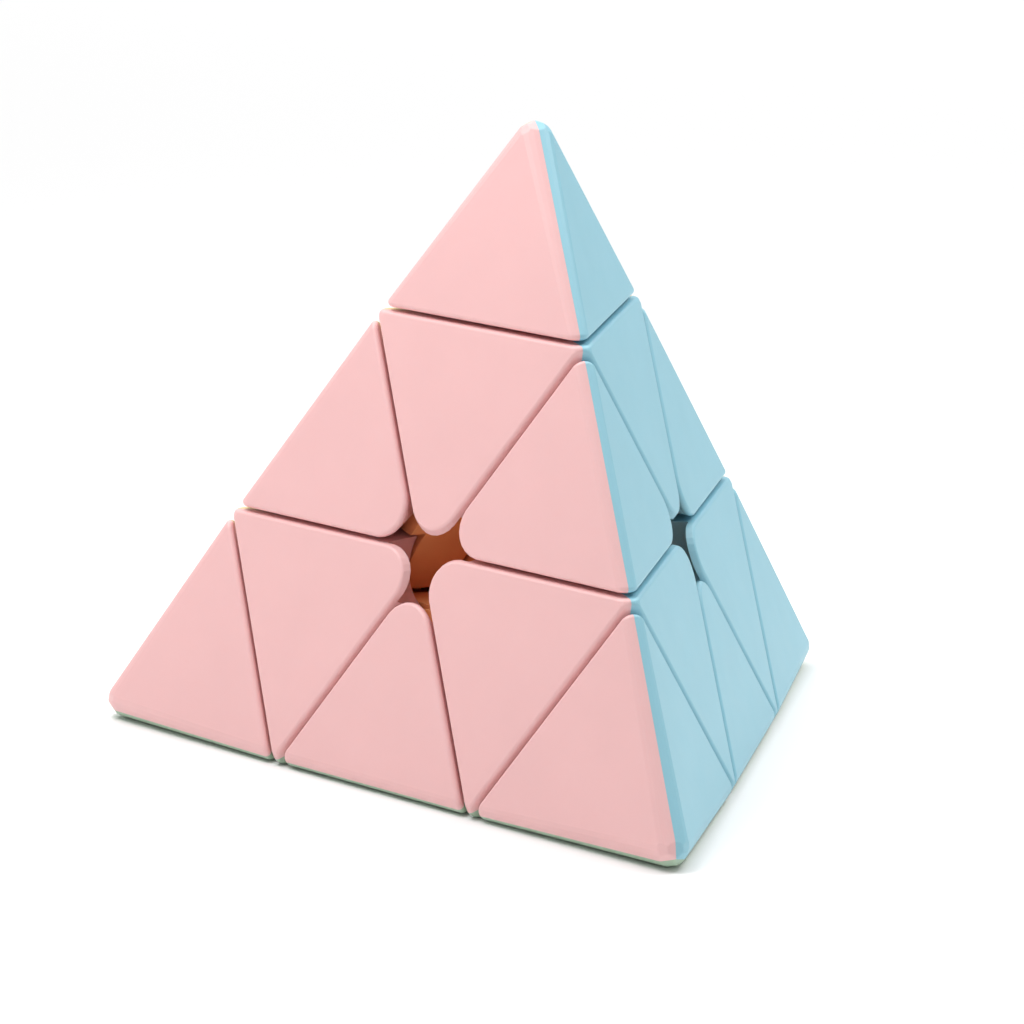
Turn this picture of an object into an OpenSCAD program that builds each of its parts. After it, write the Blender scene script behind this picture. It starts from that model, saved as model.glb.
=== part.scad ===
// Tetrahedral twisty puzzle with three layers on every corner axis.
// The origin is the centre of the core, one face lies flat underneath, and a corner points up (+Z).
// Every cut and every outer face is square to one of the four corner axes, so a piece is
// four slabs intersected, one slab per axis, and the shells are hollow versions of the pieces.

/* [Body] */
// Edge of the sharp tetrahedron that the rounded body fits inside
edge_len = 104; // [103:1:106]
// Rounding radius along the six long edges
edge_round = 1.75; // [1.2:0.05:2]
// Radius of the ball that rounds the four corners
corner_round = 2.6; // [2.5:0.05:2.7]

/* [Pieces] */
// Height of a tip as a share of the whole sharp tetrahedron's height
tip_share = 0.345; // [0.34:0.001:0.348]
// Height of a corner layer, its tip included, as a share of the same height
layer_share = 0.661; // [0.66:0.001:0.666]
// Half of the groove between neighbouring pieces
half_gap = 0.25; // [0.2:0.05:0.3]
// Wall thickness of the coloured shells
wall = 1.8; // [1.4:0.1:2]
// Radius of the hole that the six rounded piece corners leave in the middle of a face
hole_r = 3.9; // [3:0.1:4.5]

/* [Core] */
// Radius of the ball in the middle
core_r = 9.5; // [8:0.5:9.5]
// Radius of the four arms
arm_r = 3; // [2.6:0.1:3]
// Distance from the centre to the end of an arm
arm_end = 19; // [18.5:0.1:19.1]
// Radius of the screws that go into the arms
screw_r = 1.5; // [1.2:0.1:1.8]

/* [Feet] */
// Inner radius of the feet, which run round the core ball
foot_in_r = 10; // [10:0.1:10.5]
// Outer radius of the feet, which run under the axial shells
foot_out_r = 16.7; // [16:0.1:16.8]
// Radius at which the necks of the feet end and the edge shells begin
neck_r = 18.4; // [18:0.1:19]

/* [Hubs] */
// Outer radius of the hubs
hub_r = 6.2; // [6:0.1:6.4]
// Radius of the well that holds the spring and both screw heads
well_r = 4.6; // [4.5:0.1:4.8]
// Radial running clearance of the hubs on the arms and of the tip stems
run_gap = 0.06; // [0.03:0.01:0.09]

/* [Springs] */
// Radius of the spring wire
wire_r = 0.45; // [0.35:0.05:0.5]
// Radius of the coil, measured to the middle of the wire
coil_r = 2.9; // [2.7:0.1:3.2]
// Number of turns
coil_turns = 4.5; // [3.5:0.5:5.5]

/* [Tips] */
// Radius of the stem that the tip turns on
stem_r = 3.2; // [3:0.1:3.4]
// Radius of the tip screw
tip_screw_r = 1.2; // [1:0.1:1.4]

/* [Hidden] */
$fn = 64;

// Corner axes: 0 top, 1 left, 2 front, 3 right. The last three stand 120 degrees apart.
base_angles = [210, 330, 90];
base_out = sqrt(8) / 3;
base_down = -1 / 3;
axes = concat(
    [[0, 0, 1]],
    [for (a = base_angles) [base_out * cos(a), base_out * sin(a), base_down]]
);
corner_names = ["top", "left", "front", "right"];

// A face is numbered by the corner opposite to it.
face_names = ["green", "blue", "yellow", "pink"];
face_colours = [[0.66, 0.74, 0.66], [0.66, 0.83, 0.88], [0.97, 0.84, 0.55], [0.98, 0.78, 0.77]];
inner_colour = [0.93, 0.88, 0.76];
steel_colour = [0.75, 0.76, 0.78];

// Distances from the centre, along a corner axis
height = edge_len * sqrt(2 / 3);
corner_at = height * 3 / 4;
face_at = height / 4;
tip_cut = corner_at - height * tip_share;
layer_cut = corner_at - height * layer_share;
reach = edge_len;

// Long edges: distance from the centre to an edge, and half of the angle between two faces
edge_at = edge_len / sqrt(8);
half_dihedral = asin(1 / sqrt(3));
arc_steps = 6;
chord_stretch = 200;

// Depth of a corner's ball under the sharp corner, in radii: under 3, so the faces trim the ball
corner_depth = 2.85;

// Turns round solids so that their seams and poles stay off the planes where shells meet
seam_skew = 17;

// The arms start inside the ball, clear of each other
arm_root = core_r * 0.6;

// Axial shells are hollowed out for the feet, which pass under them
run_clear = 0.3;
axial_in_r = foot_out_r + run_clear;
sleeve_wall = 1.4;
roof_at = tip_cut - half_gap - wall;

// Hub: a bearing tube that tapers to miss the feet, a floor for the spring, and the well
hub_low = 15.2;
hub_low_r = 4.8;
hub_full = 18.5;
floor_low = arm_end + 0.4;
floor_thick = 1.6;
floor_top = floor_low + floor_thick;
floor_hole_r = screw_r + 0.7;

// Spring, washer and screw head, stacked above the hub's floor
spring_low = floor_top + run_clear;
spring_len = 5.2;
washer_low = spring_low + spring_len;
washer_thick = 0.6;
washer_r = 4;
head_low = washer_low + washer_thick;
head_thick = 2.2;
head_r = 3.4;
screw_end = 12;
recess_wide = 0.9;
recess_deep = 1.2;

// One coil spring: a ring of wire_sides points swept along a helix.
wire_sides = 8;
steps_per_turn = 14;
coil_steps = round(coil_turns * steps_per_turn);
coil_low = spring_low + wire_r;
coil_high = washer_low - wire_r;
coil_points = [
    for (s = [0:coil_steps])
        for (k = [0:wire_sides - 1])
            let (
                turn = 360 * s / steps_per_turn,
                around = 360 * k / wire_sides,
                out = coil_r + wire_r * cos(around)
            )
            [
                out * cos(turn),
                out * sin(turn),
                coil_low + (coil_high - coil_low) * s / coil_steps + wire_r * sin(around)
            ]
];
coil_sides = [
    for (s = [0:coil_steps - 1])
        for (k = [0:wire_sides - 1])
            let (next = (k + 1) % wire_sides, ring = s * wire_sides)
            [ring + k, ring + wire_sides + k, ring + wire_sides + next, ring + next]
];
coil_ends = [
    [for (k = [0:wire_sides - 1]) k],
    [for (k = [wire_sides - 1:-1:0]) coil_steps * wire_sides + k]
];

// Tip base: a boss in the tip's floor, a flange above it, and the stem below
boss_r = 4.6;
flange_r = 6.2;
flange_thick = 1.4;
socket_r = 2.8;
socket_thick = 2;
tip_floor = tip_cut + half_gap;
flange_low = tip_floor + wall;
flange_top = flange_low + flange_thick;
stem_low = roof_at - run_clear;
tip_head_r = 4.2;
tip_head_thick = 1.5;
tip_recess_deep = 0.9;

// Spigot that locates the edge shells on the neck of a foot
spigot_len = 4;

// Pieces by the corners that they belong to
corners = [0, 1, 2, 3];
pairs = [[0, 1], [0, 2], [0, 3], [1, 2], [1, 3], [2, 3]];
function faces_at(at) = [for (f = corners) if (len(search(f, at)) == 0) f];
function axial_node(a, part) = str("axial_", corner_names[a], "_", part);
function tip_node(a, part) = str("tip_", corner_names[a], "_", part);
function edge_node(e, part) = str("edge_", corner_names[e[0]], "_", corner_names[e[1]], "_", part);

// Turns +Z onto a direction.
module along(v) {
    rotate([0, acos(v[2] / norm(v)), atan2(v[1], v[0])])
        children();
}

// Everything between two distances along one corner axis.
module slab(axis, low, high) {
    along(axes[axis])
        translate([-reach, -reach, low])
            cube([2 * reach, 2 * reach, high - low]);
}

// Four slabs intersected.
module cell(low, high) {
    intersection_for (i = corners)
        slab(i, low[i], high[i]);
}

// The half of space that lies nearer to one face than to another.
module nearer_to(face, other) {
    along(axes[other] - axes[face])
        translate([-reach, -reach, 0])
            cube([2 * reach, 2 * reach, reach]);
}

// Outline of a rounded long edge, seen along the edge. The arc's last chord on each side runs
// straight on, outside the face that it meets.
function edge_point(i) =
    let (a = i / arc_steps * (90 - half_dihedral))
    [-edge_round * sin(a), edge_at - edge_round / sin(half_dihedral) + edge_round * cos(a)];
function chord_end(i, next) = edge_point(i) + (edge_point(next) - edge_point(i)) * chord_stretch;
function edge_profile() = concat(
    [chord_end(1 - arc_steps, -arc_steps)],
    [for (i = [1 - arc_steps:arc_steps - 1]) edge_point(i)],
    [chord_end(arc_steps - 1, arc_steps)]
);

// A long prism that rounds the edge between corners a and b.
module rounded_edge(a, b) {
    out = (axes[a] + axes[b]) / norm(axes[a] + axes[b]);
    tilt = acos(out[2]);
    turn = atan2(out[1], out[0]);
    side = [-sin(turn), cos(turn), 0];
    up = cross(out, side);
    run = axes[a] - axes[b];
    rotate([0, tilt, turn])
        rotate([0, 0, 90 + atan2(run * side, -(run * up))])
            rotate([90, 0, 0])
                linear_extrude(height = 2 * reach, center = true)
                    polygon(edge_profile());
}

// A ball on top of a wide cone, which rounds the corner of a tip.
module rounded_corner(a) {
    ball_at = corner_at - corner_depth * corner_round;
    cone_top = ball_at + corner_round * 0.7;
    along(axes[a])
        rotate([0, 0, seam_skew]) {
            translate([0, 0, ball_at])
                rotate([seam_skew * 3, seam_skew * 2, 0])
                    sphere(r = corner_round);
            cylinder(r1 = cone_top, r2 = corner_round * 0.65, h = cone_top);
        }
}

// A round post along a corner axis.
module post(axis, radius, low, high) {
    along(axes[axis])
        rotate([0, 0, seam_skew])
            translate([0, 0, low])
                cylinder(r = radius, h = high - low);
}

// The hole in the middle of a face.
module face_post(face, radius) {
    along(-axes[face])
        cylinder(r = radius, h = reach);
}

// The solid part of one face that belongs to the piece at the given corners.
module face_block(at, face, low, high) {
    intersection() {
        cell(low, high);
        face_limits(at, face);
    }
}

// Mating planes with the piece's other faces, and the rounded edges of this face.
module face_limits(at, face) {
    others = [for (f = faces_at(at)) if (f != face) f];
    intersection() {
        intersection_for (other = others)
            nearer_to(face, other);
        if (len(at) == 2)
            rounded_edge(at[0], at[1]);
        else
            intersection_for (other = others)
                rounded_edge(at[0], other);
    }
}

// Lower and upper limits of each kind of piece along the four axes; inset shrinks the cell.
// Tips and edge pieces have no upper limit.
open_high = [for (i = corners) reach];
function tip_low(a) = [for (i = corners) i == a ? tip_floor : -face_at];
// The hollow behind one face of a tip runs on past the mating planes, which trim the shell.
function tip_hollow(a, face) =
    [for (i = corners) i == a ? tip_floor + wall : i == face ? wall - face_at : -reach];
function axial_low(a, inset) = [for (i = corners) i == a ? layer_cut + half_gap + inset : inset - face_at];
function axial_high(a, inset) = [for (i = corners) (i == a ? tip_cut : layer_cut) - half_gap - inset];
function edge_low(e, inset) =
    [for (i = corners) i == e[0] || i == e[1] ? layer_cut + half_gap + inset : inset - face_at];

// Core ball with four drilled arms.
module core() {
    color(inner_colour)
        difference() {
            union() {
                rotate([seam_skew * 3, seam_skew * 2, 0])
                    sphere(r = core_r);
                for (a = corners)
                    post(a, arm_r, arm_root, arm_end);
            }
            for (a = corners)
                post(a, screw_r, screw_end, arm_end + 1);
        }
}

// Cross recess of a screw head, cut downwards from a height.
module recess(top, deep, size) {
    for (turn = [0, 90])
        rotate([0, 0, turn])
            translate([-size / 2, -recess_wide / 2, top - deep])
                cube([size, recess_wide, deep + 1]);
}

// Screws that hold the hubs on the arms.
module axis_screws() {
    color(steel_colour)
        for (a = corners)
            along(axes[a])
                difference() {
                    union() {
                        translate([0, 0, screw_end])
                            cylinder(r = screw_r, h = head_low - screw_end);
                        translate([0, 0, head_low])
                            cylinder(r = head_r, h = head_thick);
                    }
                    recess(head_low + head_thick, recess_deep, head_r * 1.2);
                }
}

module axis_washers() {
    color(steel_colour)
        for (a = corners)
            difference() {
                post(a, washer_r, washer_low, head_low);
                post(a, screw_r + 0.1, washer_low - 1, head_low + 1);
            }
}

// Springs between the hubs' floors and the washers.
module axis_springs() {
    color(steel_colour)
        for (a = corners)
            along(axes[a])
                polyhedron(points = coil_points, faces = concat(coil_sides, coil_ends), convexity = 10);
}

// Inside part of an axial piece: it turns on the arm and holds the spring.
module axial_hub(a) {
    color(inner_colour)
        along(axes[a])
            rotate([0, 0, seam_skew])
                rotate_extrude()
                    polygon([
                        [arm_r + run_gap, hub_low],
                        [hub_low_r, hub_low],
                        [hub_r, hub_full],
                        [hub_r, roof_at],
                        [well_r, roof_at],
                        [well_r, floor_top],
                        [floor_hole_r, floor_top],
                        [floor_hole_r, floor_low],
                        [arm_r + run_gap, floor_low]
                    ]);
}

// Coloured shell of an axial piece: one third, closed by its two neighbours.
module axial_shell(a, face) {
    color(face_colours[face])
        difference() {
            face_block([a], face, axial_low(a, 0), axial_high(a, 0));
            sphere(r = axial_in_r);
            post(a, hub_r, 0, roof_at);
            post(a, stem_r + run_gap, 0, reach);
            face_post(face, hole_r);
            difference() {
                cell(axial_low(a, wall), axial_high(a, wall));
                sphere(r = axial_in_r + wall);
                post(a, hub_r + sleeve_wall, 0, reach);
                face_post(face, hole_r + wall);
            }
        }
}

// Foot of an edge piece: it runs between the core ball and the axial shells. Its neck stays
// as narrow as the foot, so that the feet of a turning layer pass it.
module edge_foot(e) {
    foot_low = [for (i = corners) i == e[0] || i == e[1] ? half_gap : -reach];
    foot_high = [for (i = corners) i == e[0] || i == e[1] ? reach : -half_gap];
    color(inner_colour)
        difference() {
            union() {
                intersection() {
                    cell(foot_low, foot_high);
                    sphere(r = foot_out_r);
                }
                intersection() {
                    cell(edge_low(e, 0), foot_high);
                    sphere(r = neck_r);
                }
                intersection() {
                    cell(edge_low(e, wall), open_high);
                    sphere(r = neck_r + spigot_len);
                }
            }
            sphere(r = foot_in_r);
        }
}

// Coloured shell of an edge piece: one half, closed by the other.
module edge_shell(e, face) {
    color(face_colours[face])
        difference() {
            face_block(e, face, edge_low(e, 0), open_high);
            sphere(r = neck_r);
            face_post(face, hole_r);
            difference() {
                cell(edge_low(e, wall), open_high);
                face_post(face, hole_r + wall);
            }
        }
}

// Base of a tip: the stem turns in the hole between the three axial shells.
module tip_base(a) {
    color(inner_colour)
        difference() {
            union() {
                post(a, stem_r, stem_low, flange_low);
                post(a, boss_r, tip_floor, flange_low);
                post(a, flange_r, flange_low, flange_top);
                post(a, socket_r, flange_top, flange_top + socket_thick);
            }
            post(a, tip_screw_r, stem_low - 1, flange_top);
        }
}

// Screw under the axial shells' roof that keeps the tip on.
module tip_screw(a) {
    color(steel_colour)
        difference() {
            union() {
                post(a, tip_head_r, stem_low - tip_head_thick, stem_low);
                post(a, tip_screw_r, stem_low, flange_top);
            }
            along(axes[a])
                mirror([0, 0, 1])
                    recess(tip_head_thick - stem_low, tip_recess_deep, tip_head_r);
        }
}

// Coloured shell of a tip: one third, closed by its two neighbours.
module tip_shell(a, face) {
    color(face_colours[face])
        difference() {
            intersection() {
                face_block([a], face, tip_low(a), open_high);
                rounded_corner(a);
            }
            post(a, boss_r, 0, flange_top);
            cell(tip_hollow(a, face), open_high);
        }
}

core();
axis_screws();
axis_springs();
axis_washers();
for (a = corners) {
    axial_hub(a);
    tip_base(a);
    tip_screw(a);
    for (f = faces_at([a])) {
        axial_shell(a, f);
        tip_shell(a, f);
    }
}
for (e = pairs) {
    edge_foot(e);
    for (f = faces_at(e))
        edge_shell(e, f);
}
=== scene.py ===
import itertools
import math

import bmesh
import bpy
import numpy as np
from mathutils import Matrix, Vector
from mathutils.bvhtree import BVHTree


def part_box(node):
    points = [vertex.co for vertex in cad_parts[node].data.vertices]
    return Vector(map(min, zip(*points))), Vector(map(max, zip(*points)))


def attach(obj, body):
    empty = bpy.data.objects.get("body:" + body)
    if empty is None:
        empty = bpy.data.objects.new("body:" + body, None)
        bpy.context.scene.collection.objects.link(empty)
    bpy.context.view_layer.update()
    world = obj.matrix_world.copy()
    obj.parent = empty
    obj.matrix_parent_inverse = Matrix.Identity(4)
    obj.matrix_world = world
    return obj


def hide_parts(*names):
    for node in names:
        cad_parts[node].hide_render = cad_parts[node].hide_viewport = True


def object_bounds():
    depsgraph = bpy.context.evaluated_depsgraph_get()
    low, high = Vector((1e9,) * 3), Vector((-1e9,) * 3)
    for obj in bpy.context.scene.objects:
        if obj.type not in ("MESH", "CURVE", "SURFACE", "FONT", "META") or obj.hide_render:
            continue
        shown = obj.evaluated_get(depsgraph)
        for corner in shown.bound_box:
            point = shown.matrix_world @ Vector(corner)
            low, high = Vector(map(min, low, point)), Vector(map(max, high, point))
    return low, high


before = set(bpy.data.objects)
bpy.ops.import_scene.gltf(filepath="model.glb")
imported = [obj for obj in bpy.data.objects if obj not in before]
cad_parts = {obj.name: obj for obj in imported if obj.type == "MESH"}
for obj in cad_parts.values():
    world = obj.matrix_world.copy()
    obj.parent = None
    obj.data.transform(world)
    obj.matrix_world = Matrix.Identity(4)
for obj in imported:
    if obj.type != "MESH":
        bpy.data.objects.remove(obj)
cad_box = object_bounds()

# All shapes are worked out in millimetres and stored in metres.
MM = 0.001


# ---------------------------------------------------------------- dimensions, from the frame

def node_points(node):
    """The vertices of a CAD node, in millimetres."""
    return np.array([v.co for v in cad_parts[node].data.vertices], float) / MM


def nearest_to_centre(node):
    return float(np.linalg.norm(node_points(node), axis=1).min())


def nearest_to_axis(node, axis, low, high):
    """Distance from an axis to the nearest vertex of a node that lies between two heights on it."""
    points = node_points(node)
    along = points @ axis
    away = np.linalg.norm(points - along[:, None] * axis, axis=1)
    return float(away[(along > low) & (along < high)].min())


def corner_axes():
    """Unit vectors from the centre to the four corners."""
    out = [np.array([0.0, 0.0, 1.0])]
    for degrees in (210, 330, 90):
        turn = math.radians(degrees)
        aside = math.sqrt(8) / 3
        out.append(np.array([aside * math.cos(turn), aside * math.sin(turn), -1 / 3]))
    return out


# Corners and the faces opposite to them share an index.
CORNERS = ("top", "left", "front", "right")
FACES = ("green", "blue", "yellow", "pink")
PAIRS = tuple(itertools.combinations(range(4), 2))
AXES = corner_axes()

face_at = -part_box("tip_left_green")[0].z / MM
height = 4 * face_at
corner_at = 3 * face_at
edge_len = height / math.sqrt(2 / 3)
tip_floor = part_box("tip_top_pink")[0].z / MM
axial_low, axial_high = (corner.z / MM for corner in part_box("axial_top_pink"))
half_gap = (tip_floor - axial_high) / 2
tip_cut = axial_high + half_gap
layer_cut = axial_low - half_gap
roof_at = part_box("axial_top_hub")[1].z / MM
wall = axial_high - roof_at
hub_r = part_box("axial_top_hub")[1].x / MM
axial_in_r = nearest_to_centre("axial_top_pink")
neck_r = nearest_to_centre("edge_top_left_pink")
stem_hole_r = nearest_to_axis("axial_top_pink", AXES[0], roof_at, tip_cut)
boss_r = nearest_to_axis("tip_top_pink", AXES[0], tip_cut, tip_floor + wall / 2)
hole_r = nearest_to_axis("edge_top_left_pink", -AXES[3], face_at - wall, face_at + wall)

# Roundings of the pieces: the puzzle's long edges and corners, the edges along the grooves,
# and the corners that meet around a face-centre hole
LONG_EDGE_R = 1.75
CORNER_R = 2.58
GROOVE_EDGE_R = 0.55
CENTRE_CORNER_R = 4.3

# Flat steps in a rounding, and the largest angle between neighbouring points on a groove edge
ARC_STEPS = 7
BALL_STEPS = 5
SWEEP_STEP = math.radians(13)

# The sleeve of an axial shell around its hub
SLEEVE_WALL = 1.4

# Under the lips around a face-centre hole the shells are cut back and show the inner plastic, whose
# colour holds painted reflected light.
LIP = 0.9
CUT_BACK = 3.0

# Springs: turns, points in a turn, points around the wire
SPRING_TURNS = 4.5
SPRING_STEPS = 32
SPRING_SIDES = 12

# Three planes whose determinant is below this never meet in one point.
PARALLEL = 1e-7

# Tolerances in millimetres: outside a plane, same point, touching a plane
OUTSIDE = 1e-7
SAME_POINT = 1e-5
TOUCHING = 2e-5


# ---------------------------------------------------------------- camera, at the photograph's angle

# The view's direction in degrees, the camera's place in edge lengths, its lens in millimetres
VIEW_TURN, VIEW_LIFT, VIEW_ROLL = 42.03, 13.61, -0.5
VIEW_DISTANCE, VIEW_ASIDE, VIEW_ABOVE = 5.867, -0.0227, 0.0848
LENS, SENSOR = 169.9, 36


def add_camera():
    turn, lift, roll = (math.radians(angle) for angle in (VIEW_TURN, VIEW_LIFT, VIEW_ROLL))
    back = Vector((math.sin(turn) * math.cos(lift), -math.cos(turn) * math.cos(lift), math.sin(lift)))
    right = Vector((math.cos(turn), math.sin(turn), 0))
    up = back.cross(right)
    place = (back * VIEW_DISTANCE + right * VIEW_ASIDE + up * VIEW_ABOVE) * edge_len * MM
    rolled_right = right * math.cos(roll) - up * math.sin(roll)
    rolled_up = right * math.sin(roll) + up * math.cos(roll)
    data = bpy.data.cameras.new("camera")
    data.sensor_width = SENSOR
    data.lens = LENS
    data.clip_end = 10
    camera = bpy.data.objects.new("camera", data)
    facing = Matrix((rolled_right, rolled_up, back)).transposed().to_4x4()
    camera.matrix_world = Matrix.Translation(place) @ facing
    bpy.context.scene.collection.objects.link(camera)
    bpy.context.scene.camera = camera


add_camera()


# ---------------------------------------------------------------- convex bodies with rolled edges

def unit(v):
    return v / np.linalg.norm(v)


def angle_of(a, b):
    """Angle between two unit vectors."""
    return math.acos(max(-1.0, min(1.0, float(a @ b))))


def between(a, b, t):
    """Direction at share t of the way from unit vector a to unit vector b."""
    angle = angle_of(a, b)
    return (math.sin((1 - t) * angle) * a + math.sin(t * angle) * b) / math.sin(angle)


def long_edge_planes(i, j, inset):
    """Planes that round the long edge between faces i and j."""
    centre = -(AXES[i] + AXES[j]) * 1.5 * (face_at - LONG_EDGE_R)
    planes = []
    for k in range(1, ARC_STEPS):
        n = between(-AXES[i], -AXES[j], k / ARC_STEPS)
        planes.append((n, n @ centre + LONG_EDGE_R - inset))
    return planes


def tip_edge_planes(corner, i, j, inset):
    """Planes that round a tip's long edge between faces i and j: the radius grows towards the corner."""
    ball = AXES[corner] * (corner_at - 3 * CORNER_R)
    other = next(c for c in range(4) if c not in (corner, i, j))
    edge = unit(AXES[corner] - AXES[other])
    foot = -(AXES[i] + AXES[j]) * 1.5 * (face_at - LONG_EDGE_R)
    foot = foot + edge * (tip_floor - foot @ AXES[corner]) / (edge @ AXES[corner])
    run = foot - ball
    share = (CORNER_R - LONG_EDGE_R) / np.linalg.norm(run)
    along = unit(run)
    start, end = (unit(-AXES[f] - along * share) for f in (i, j))
    planes = []
    for k in range(1, ARC_STEPS):
        n = along * share + between(start, end, k / ARC_STEPS) * math.sqrt(1 - share * share)
        planes.append((n, n @ ball + CORNER_R - inset))
    return planes


def ball_planes(corner, inset):
    """Planes that round a corner of the whole puzzle."""
    centre = AXES[corner] * (corner_at - 3 * CORNER_R)
    normals = [-AXES[f] for f in range(4) if f != corner]
    planes = []
    for i in range(1, BALL_STEPS):
        for j in range(1, BALL_STEPS - i):
            k = BALL_STEPS - i - j
            n = unit(i * normals[0] + j * normals[1] + k * normals[2])
            planes.append((n, n @ centre + CORNER_R - inset))
    return planes


def wall_edge_planes(wall_a, wall_b, radius, inset):
    """Planes that round the edge between two walls, each a pair of normal and distance."""
    (na, da), (nb, db) = wall_a, wall_b
    gram = np.array([[1, na @ nb], [na @ nb, 1]])
    s, t = np.linalg.solve(gram, [da - radius, db - radius])
    centre = s * na + t * nb
    planes = []
    for k in range(1, ARC_STEPS + 2):
        n = between(na, nb, k / (ARC_STEPS + 2))
        planes.append((n, n @ centre + radius - inset))
    return planes


def flat_planes(kind, corners):
    """The flat sides of a piece: pairs of an outward direction and a distance from the centre."""
    planes = [(-AXES[f], face_at) for f in range(4) if f not in corners]
    low = tip_floor if kind == "tip" else layer_cut + half_gap
    planes += [(-AXES[c], -low) for c in corners]
    if kind == "axial":
        planes += [(AXES[c], tip_cut - half_gap) for c in corners]
        planes += [(AXES[f], layer_cut - half_gap) for f in range(4) if f not in corners]
    return planes


def shrunk(planes, inset):
    return [(n, d - inset) for n, d in planes]


def rolled_planes(kind, corners, inset):
    """The sides of a piece with its long edges and face-centre corners rounded, all moved in by inset."""
    others = [f for f in range(4) if f not in corners]
    planes = shrunk(flat_planes(kind, corners), inset)
    for i, j in itertools.combinations(others, 2):
        if kind == "tip":
            planes += tip_edge_planes(corners[0], i, j, inset)
        else:
            planes += long_edge_planes(i, j, inset)
    if kind == "tip":
        planes += ball_planes(corners[0], inset)
    if kind == "axial":
        walls = [(AXES[f], layer_cut - half_gap) for f in others]
        for one, other in itertools.combinations(walls, 2):
            planes += wall_edge_planes(one, other, CENTRE_CORNER_R, inset)
    if kind == "edge":
        walls = [(-AXES[c], -(layer_cut + half_gap)) for c in corners]
        planes += wall_edge_planes(*walls, CENTRE_CORNER_R, inset)
    return planes


def polytope(planes):
    """Corners of the convex body inside the planes, each with the planes that meet there."""
    normals = np.array([n for n, d in planes])
    offsets = np.array([d for n, d in planes])
    triples = np.array(list(itertools.combinations(range(len(planes)), 3)))
    systems = normals[triples]
    good = np.abs(np.linalg.det(systems)) > PARALLEL
    points = np.linalg.solve(systems[good], offsets[triples[good]][..., None])[..., 0]
    inside = (points @ normals.T <= offsets + OUTSIDE).all(axis=1)
    corners = []
    for p in points[inside]:
        if not any(np.abs(p - q).max() < SAME_POINT for q in corners):
            corners.append(p)
    return [(p, np.flatnonzero(np.abs(normals @ p - offsets) < TOUCHING)) for p in corners], normals


def rolled_points(planes, radius):
    """Points on the body grown by a ball, with the surface direction at each point."""
    corners, normals = polytope(planes)
    points, directions = [], []
    for corner, touching in corners:
        seen = []
        for pick in itertools.combinations(touching, 3):
            for n in patch_directions([normals[k] for k in pick]):
                if not seen or np.abs(np.array(seen) - n).max(axis=1).min() > 1e-4:
                    seen.append(n)
        points += [corner + radius * n for n in seen]
        directions += seen
    return np.array(points), np.array(directions)


def patch_directions(trio):
    """Directions spread over the spherical triangle between three directions."""
    widest = max(angle_of(p, q) for p, q in itertools.combinations(trio, 2))
    steps = max(1, math.ceil(widest / SWEEP_STEP))
    found = []
    for p, q in itertools.combinations(trio, 2):
        angle = angle_of(p, q)
        count = max(1, math.ceil(angle / SWEEP_STEP))
        found += [unit(between(p, q, k / count)) for k in range(count + 1)] if angle > 1e-6 else [p]
    for i in range(1, steps):
        for j in range(1, steps - i):
            found.append(unit(i * trio[0] + j * trio[1] + (steps - i - j) * trio[2]))
    return found


def hull_mesh(points, directions=None):
    """Closed bmesh of the convex hull; with directions, each vertex keeps its own."""
    bm = bmesh.new()
    layer = bm.verts.layers.float_vector.new("direction")
    for k, p in enumerate(points):
        v = bm.verts.new(p)
        if directions is not None:
            v[layer] = directions[k]
    hull = bmesh.ops.convex_hull(bm, input=bm.verts)
    loose = [g for g in hull["geom_interior"] + hull["geom_unused"] if isinstance(g, bmesh.types.BMVert)]
    bmesh.ops.delete(bm, geom=list(set(loose)), context="VERTS")
    bmesh.ops.dissolve_limit(bm, angle_limit=math.radians(0.05), verts=bm.verts, edges=bm.edges)
    bmesh.ops.recalc_face_normals(bm, faces=bm.faces)
    return bm


def rolled_body(planes):
    return hull_mesh(*rolled_points(planes, GROOVE_EDGE_R))


def plain_body(planes):
    return hull_mesh([p for p, touching in polytope(planes)[0]])


# ---------------------------------------------------------------- cutting bodies into shells

# Faces are marked by what made them, so that each gets the right shading and plastic.
ROLLED, FLAT, BALL, LINER = 0, 1, 2, 3
MARKS = [bpy.data.materials.new(f"mark_{k}") for k in range(4)]


def to_object(bm, name, mark):
    mesh = bpy.data.meshes.new(name)
    for f in bm.faces:
        f.material_index = mark
    bm.to_mesh(mesh)
    bm.free()
    obj = bpy.data.objects.new(name, mesh)
    for material in MARKS:
        mesh.materials.append(material)
    bpy.context.scene.collection.objects.link(obj)
    return obj


def subtract(obj, tool):
    """Cuts tool out of obj and removes tool."""
    cut = obj.modifiers.new("cut", "BOOLEAN")
    cut.operation = "DIFFERENCE"
    cut.solver = "EXACT"
    cut.object = tool
    apply_modifiers(obj)
    bpy.data.objects.remove(tool)
    return obj


def apply_modifiers(obj):
    graph = bpy.context.evaluated_depsgraph_get()
    mesh = bpy.data.meshes.new_from_object(obj.evaluated_get(graph))
    old = obj.data
    obj.modifiers.clear()
    obj.data = mesh
    bpy.data.meshes.remove(old)


def ball(radius):
    bm = bmesh.new()
    bmesh.ops.create_icosphere(bm, subdivisions=5, radius=radius)
    bmesh.ops.rotate(bm, verts=bm.verts, matrix=Matrix.Rotation(0.37, 3, Vector((1, 2, 3)).normalized()))
    return to_object(bm, "ball", BALL)


def post(axis, radius, low, high, mark=FLAT, sides=96):
    """Round post along a direction."""
    bm = bmesh.new()
    length = high - low
    bmesh.ops.create_cone(bm, cap_ends=True, segments=sides, radius1=radius, radius2=radius, depth=length)
    turn = Vector(axis).to_track_quat("Z", "Y").to_matrix()
    bmesh.ops.translate(bm, verts=bm.verts, vec=(0, 0, (high + low) / 2))
    bmesh.ops.rotate(bm, verts=bm.verts, matrix=turn @ Matrix.Rotation(0.3, 3, "Z"))
    return to_object(bm, "post", mark)


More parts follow.
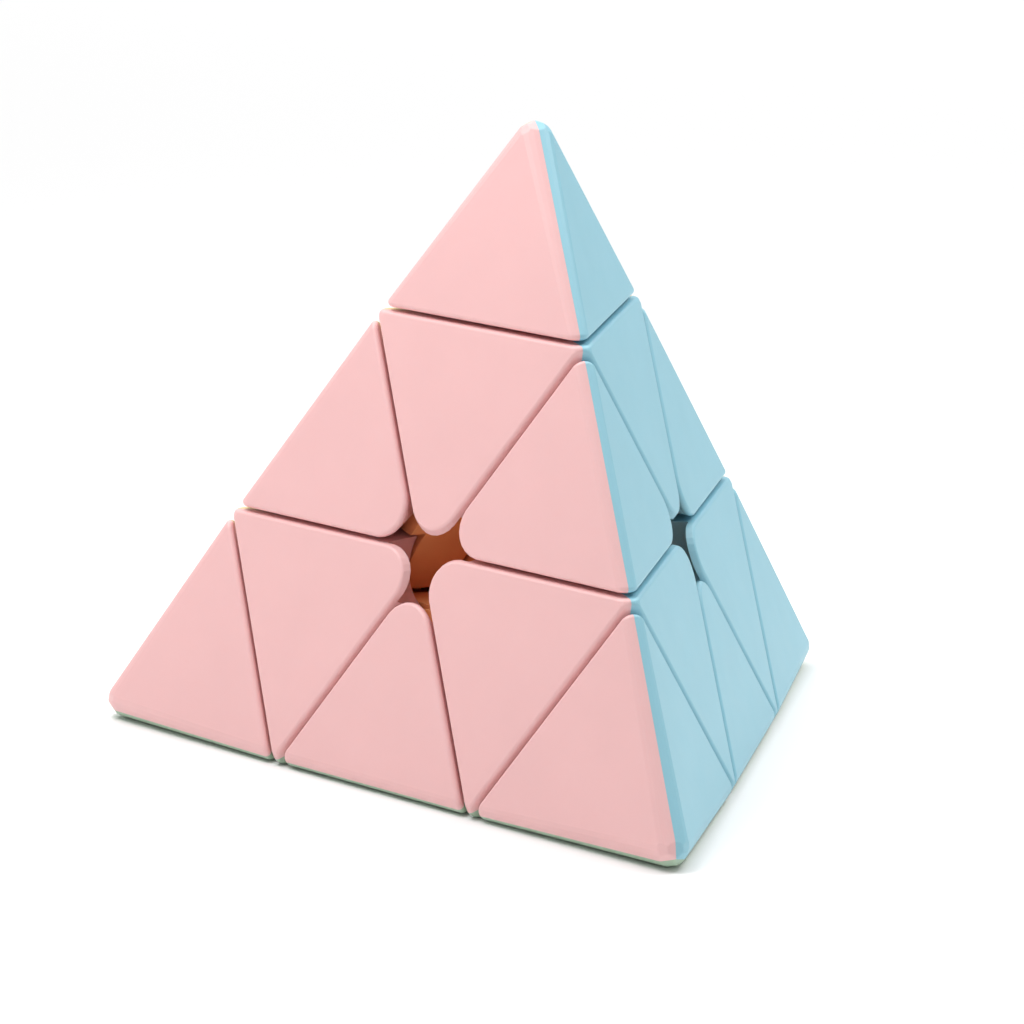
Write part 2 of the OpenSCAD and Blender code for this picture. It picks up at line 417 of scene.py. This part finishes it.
def keep_nearer(bm, face, other):
    """Keeps the half of a body that lies nearer to one face, and caps the cut."""
    normal = Vector(AXES[other] - AXES[face]).normalized()
    geometry = list(bm.verts) + list(bm.edges) + list(bm.faces)
    cut = bmesh.ops.bisect_plane(bm, geom=geometry, plane_co=(0, 0, 0), plane_no=normal, clear_inner=True)
    rim = [g for g in cut["geom_cut"] if isinstance(g, bmesh.types.BMEdge)]
    bmesh.ops.contextual_create(bm, geom=rim)


def shell(kind, corners, face):
    """One coloured shell, in millimetres, and the rolled body that it was cut from."""
    body = rolled_body(rolled_planes(kind, corners, GROOVE_EDGE_R))
    tree = BVHTree.FromBMesh(body)
    directions = body_directions(body)
    for other in range(4):
        if other != face and other not in corners:
            keep_nearer(body, face, other)
    bmesh.ops.recalc_face_normals(body, faces=body.faces)
    obj = to_object(body, kind, ROLLED)
    hollow = to_object(plain_body(shrunk(flat_planes(kind, corners), wall)), "hollow", FLAT)
    own_axis = AXES[corners[0]]
    if kind == "tip":
        subtract(obj, hollow)
        subtract(obj, post(own_axis, boss_r, 0, tip_floor + wall * 1.5))
    else:
        subtract(hollow, post(-AXES[face], hole_r + CUT_BACK + wall / 2, 0, corner_at))
        subtract(obj, post(-AXES[face], hole_r + CUT_BACK, 0, face_at - LIP, LINER))
    if kind == "axial":
        subtract(hollow, ball(axial_in_r + wall))
        subtract(hollow, post(own_axis, hub_r + SLEEVE_WALL, 0, corner_at))
        subtract(obj, ball(axial_in_r))
        subtract(obj, post(own_axis, hub_r, 0, roof_at))
        subtract(obj, post(own_axis, stem_hole_r, 0, corner_at))
        subtract(obj, hollow)
    if kind == "edge":
        subtract(obj, ball(neck_r))
        subtract(obj, hollow)
    return obj, tree, directions


def body_directions(bm):
    """For every face of a body: its corners and the surface directions there."""
    layer = bm.verts.layers.float_vector["direction"]
    bm.faces.ensure_lookup_table()
    return [([v.co.copy() for v in f.verts], [v[layer].copy() for v in f.verts]) for f in bm.faces]


def smooth_direction(point, tree, directions):
    """Surface direction of the rolled body nearest to a point."""
    _, _, index, _ = tree.find_nearest(point)
    corners, around = directions[index]
    weights = [1 / ((point - c).length_squared + 1e-9) for c in corners]
    total = Vector((0, 0, 0))
    for w, d in zip(weights, around):
        total += w * d
    return total.normalized()


def shading(mesh, tree, directions, hole_axis):
    """The true surface direction at each face corner."""
    normals = []
    for polygon in mesh.polygons:
        rolled = polygon.material_index == ROLLED and on_rolled_surface(polygon, tree)
        for index in polygon.loop_indices:
            co = mesh.vertices[mesh.loops[index].vertex_index].co
            if polygon.material_index == BALL:
                normals.append(-co.normalized())
            elif polygon.material_index == LINER and abs(polygon.normal.dot(hole_axis)) < 0.5:
                normals.append((hole_axis * co.dot(hole_axis) - co).normalized())
            elif rolled:
                normals.append(smooth_direction(co, tree, directions))
            else:
                normals.append(polygon.normal.copy())
    return normals


def on_rolled_surface(polygon, tree):
    _, normal, _, distance = tree.find_nearest(polygon.center)
    return distance < 0.01 and normal.dot(polygon.normal) > 0.9


def turn_to(corners, face, start_corners, start_face):
    """The rotation of the whole puzzle that takes one piece's place to another's."""
    for p in itertools.permutations(range(4)):
        if {p[c] for c in start_corners} != set(corners) or p[start_face] != face:
            continue
        before = np.array([AXES[k] for k in range(3)]).T
        after = np.array([AXES[p[k]] for k in range(3)]).T
        turn = after @ np.linalg.inv(before)
        if np.linalg.det(turn) > 0:
            return turn
    raise ValueError("no turn takes one place to the other")


def finished_copy(pattern, name, turn, material):
    """A copy of a pattern shell, turned into its own place, in metres."""
    mesh = pattern["mesh"].copy()
    mesh.name = name
    co = np.zeros(len(mesh.vertices) * 3)
    mesh.vertices.foreach_get("co", co)
    co = co.reshape(-1, 3) @ turn.T * MM
    mesh.vertices.foreach_set("co", co.ravel())
    mesh.polygons.foreach_set("use_smooth", [True] * len(mesh.polygons))
    mesh.update()
    mesh.normals_split_custom_set(np.array(pattern["normals"]) @ turn.T)
    mesh.materials.append(material)
    mesh.materials.append(INNER_PLASTIC_AND_PAINTED_LIGHT)
    obj = bpy.data.objects.new(name, mesh)
    bpy.context.scene.collection.objects.link(obj)
    return obj


def make_pattern(kind, corners, face):
    obj, tree, directions = shell(kind, corners, face)
    mesh = obj.data
    normals = shading(mesh, tree, directions, Vector(-AXES[face]))
    bpy.data.objects.remove(obj)
    lined = [int(p.material_index == LINER) for p in mesh.polygons]
    mesh.polygons.foreach_set("material_index", lined)
    mesh.materials.clear()
    return {"mesh": mesh, "normals": normals, "corners": corners, "face": face}


# ---------------------------------------------------------------- materials

class Surface:
    """A new material, with short ways to add noise, ranges, tints and bumps to its shader."""

    def __init__(self, name):
        self.material = bpy.data.materials.new(name)
        self.material.use_nodes = True
        self.nodes, self.links = self.material.node_tree.nodes, self.material.node_tree.links
        self.shader = self.nodes["Principled BSDF"]
        self.place = self.nodes.new("ShaderNodeTexCoord").outputs["Object"]

    def noise(self, scale, detail):
        texture = self.nodes.new("ShaderNodeTexNoise")
        texture.inputs["Scale"].default_value = scale
        texture.inputs["Detail"].default_value = detail
        self.links.new(self.place, texture.inputs["Vector"])
        return texture.outputs["Fac"]

    def ranged(self, value, low, high):
        node = self.nodes.new("ShaderNodeMapRange")
        node.inputs["To Min"].default_value = low
        node.inputs["To Max"].default_value = high
        self.links.new(value, node.inputs["Value"])
        return node.outputs["Result"]

    def colour(self, colour, shade):
        """Base colour, darkened and lightened by shade."""
        tint = self.nodes.new("ShaderNodeVectorMath")
        tint.operation = "SCALE"
        tint.inputs[0].default_value = colour
        self.links.new(shade, tint.inputs["Scale"])
        self.links.new(tint.outputs["Vector"], self.shader.inputs["Base Color"])

    def roughness(self, value):
        self.links.new(value, self.shader.inputs["Roughness"])

    def bump(self, height, strength, depth, under=None):
        """Bump on top of another one, linked to the shader; depth is in metres."""
        node = self.nodes.new("ShaderNodeBump")
        node.inputs["Strength"].default_value = strength
        node.inputs["Distance"].default_value = depth
        self.links.new(height, node.inputs["Height"])
        if under:
            self.links.new(under, node.inputs["Normal"])
        self.links.new(node.outputs["Normal"], self.shader.inputs["Normal"])
        return node.outputs["Normal"]


def moulded_plastic(name, colour, roughness=0.42):
    """Self-coloured moulded plastic: faint mottling, a fine grain and a slight waviness."""
    surface = Surface(name)
    surface.colour(colour, surface.ranged(surface.noise(120, 3), 0.97, 1.03))
    surface.roughness(surface.ranged(surface.noise(260, 4), roughness - 0.05, roughness + 0.05))
    grain = surface.bump(surface.noise(4500, 2), 0.06, 0.00005)
    surface.bump(surface.noise(90, 1), 0.05, 0.0004, under=grain)
    inputs = surface.shader.inputs
    inputs["IOR"].default_value = 1.5
    inputs["Subsurface Weight"].default_value = 0.12
    inputs["Subsurface Radius"].default_value = (1.0, 0.6, 0.5)
    inputs["Subsurface Scale"].default_value = 0.0008
    return surface.material


def zinc_steel(name):
    """Zinc-plated steel with fine turning marks."""
    surface = Surface(name)
    marks = surface.noise(900, 5)
    surface.roughness(surface.ranged(marks, 0.22, 0.42))
    surface.colour((0.62, 0.63, 0.65), surface.ranged(marks, 0.9, 1.05))
    surface.bump(marks, 0.1, 0.00005)
    surface.shader.inputs["Metallic"].default_value = 1.0
    return surface.material


PLASTIC = {
    "pink": moulded_plastic("pink_plastic", (0.89, 0.535, 0.53)),
    "blue": moulded_plastic("blue_plastic", (0.298, 0.588, 0.695)),
    "yellow": moulded_plastic("yellow_plastic", (0.76, 0.58, 0.265)),
    "green": moulded_plastic("green_plastic", (0.42, 0.56, 0.42)),
}
# Inner plastic: its own tan tone, brightened and saturated to orange as painted light, standing in for
# pink light reflected and let through the shells into the face-centre holes.
INNER_PLASTIC_AND_PAINTED_LIGHT = moulded_plastic("inner_plastic", (0.97, 0.41, 0.16), roughness=0.5)
STEEL = zinc_steel("zinc_steel")


# ---------------------------------------------------------------- coloured shells

def add_shells():
    places = {
        "tip": [((c,), f) for c in range(4) for f in range(4) if f != c],
        "axial": [((c,), f) for c in range(4) for f in range(4) if f != c],
        "edge": [(e, f) for e in PAIRS for f in range(4) if f not in e],
    }
    for kind, spots in places.items():
        start_corners, start_face = ((0, 1), 3) if kind == "edge" else ((0,), 3)
        pattern = make_pattern(kind, start_corners, start_face)
        for corners, face in spots:
            place = "_".join([kind] + [CORNERS[c] for c in corners])
            node = f"{place}_{FACES[face]}"
            turn = turn_to(corners, face, start_corners, start_face)
            piece = finished_copy(pattern, f"{node}_shell", turn, PLASTIC[FACES[face]])
            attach(piece, f"layer_{CORNERS[corners[0]]}" if kind == "axial" else place)
            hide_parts(node)
        bpy.data.meshes.remove(pattern["mesh"])


add_shells()


# ---------------------------------------------------------------- hidden mechanism

def add_springs():
    """Round-wire springs in place of the faceted ones, all four measured from the CAD coil on the top
    axis.
    """
    points = node_points("axis_springs")
    spring = points[(points @ AXES[0]) > hub_r * 2]
    away = np.hypot(spring[:, 0], spring[:, 1])
    wire_r = (away.max() - away.min()) / 2
    coil_r = (away.max() + away.min()) / 2
    low, high = spring[:, 2].min() + wire_r, spring[:, 2].max() - wire_r
    steps = round(SPRING_TURNS * SPRING_STEPS)
    bm = bmesh.new()
    for axis in AXES:
        turn = np.array(Vector((0, 0, 1)).rotation_difference(Vector(axis)).to_matrix())
        rings = []
        for s in range(steps + 1):
            angle = 2 * math.pi * s / SPRING_STEPS
            ring = []
            for k in range(SPRING_SIDES):
                around = 2 * math.pi * k / SPRING_SIDES
                out = coil_r + wire_r * math.cos(around)
                z = low + (high - low) * s / steps + wire_r * math.sin(around)
                point = turn @ np.array([out * math.cos(angle), out * math.sin(angle), z])
                ring.append(bm.verts.new(point * MM))
            rings.append(ring)
        for one, other in zip(rings, rings[1:]):
            for k in range(SPRING_SIDES):
                bm.faces.new((one[k], one[k - 1], other[k - 1], other[k]))
        bm.faces.new(rings[0])
        bm.faces.new(reversed(rings[-1]))
    bmesh.ops.recalc_face_normals(bm, faces=bm.faces)
    mesh = bpy.data.meshes.new("springs")
    bm.to_mesh(mesh)
    bm.free()
    mesh.polygons.foreach_set("use_smooth", [len(p.vertices) == 4 for p in mesh.polygons])
    mesh.materials.append(STEEL)
    springs = bpy.data.objects.new("springs", mesh)
    bpy.context.scene.collection.objects.link(springs)
    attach(springs, "core")
    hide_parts("axis_springs")


add_springs()

# Axles and screws take the steel; the core, hubs, feet and bases take the inner plastic with its painted
# reflected light.
for node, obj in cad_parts.items():
    steel = node.startswith("axis_") or node.endswith("_screw")
    inner = node == "core" or node.endswith(("_hub", "_foot", "_base"))
    if steel or inner:
        obj.data.materials.clear()
        obj.data.materials.append(STEEL if steel else INNER_PLASTIC_AND_PAINTED_LIGHT)


# ---------------------------------------------------------------- floor, light and finish

FLOOR_HALF = 4
FLOOR_DROP = 0.0001
FLOOR_GREY = 0.95
WORLD_STRENGTH = 0.37


def add_floor():
    bm = bmesh.new()
    bmesh.ops.create_grid(bm, x_segments=1, y_segments=1, size=FLOOR_HALF)
    mesh = bpy.data.meshes.new("floor")
    bm.to_mesh(mesh)
    bm.free()
    floor = bpy.data.objects.new("floor", mesh)
    floor.location.z = cad_box[0][2] - FLOOR_DROP
    bpy.context.scene.collection.objects.link(floor)
    material = bpy.data.materials.new("pale_floor")
    material.use_nodes = True
    shader = material.node_tree.nodes["Principled BSDF"]
    shader.inputs["Base Color"].default_value = (FLOOR_GREY, FLOOR_GREY, FLOOR_GREY, 1)
    shader.inputs["Roughness"].default_value = 0.9
    mesh.materials.append(material)


def add_light(name, place, size, power):
    """A square lamp that faces the puzzle; place and size in metres, power in watts."""
    data = bpy.data.lights.new(name, "AREA")
    data.size = size
    data.energy = power
    light = bpy.data.objects.new(name, data)
    light.location = place
    light.rotation_euler = Vector(place).to_track_quat("Z", "Y").to_euler()
    bpy.context.scene.collection.objects.link(light)


def add_world():
    world = bpy.data.worlds.new("studio")
    world.use_nodes = True
    background = world.node_tree.nodes["Background"]
    background.inputs["Color"].default_value = (1, 1, 1, 1)
    background.inputs["Strength"].default_value = WORLD_STRENGTH
    bpy.context.scene.world = world


add_floor()
add_world()
add_light("wide_overhead", (-0.5, 0.75, 1.6), 2.8, 37)
add_light("key", (-0.065, -0.1, 0.23), 0.12, 0.35)
add_light("side", (0.09, 0.12, 0.2), 0.08, 0.15)
bpy.context.scene.view_settings.view_transform = "Standard"
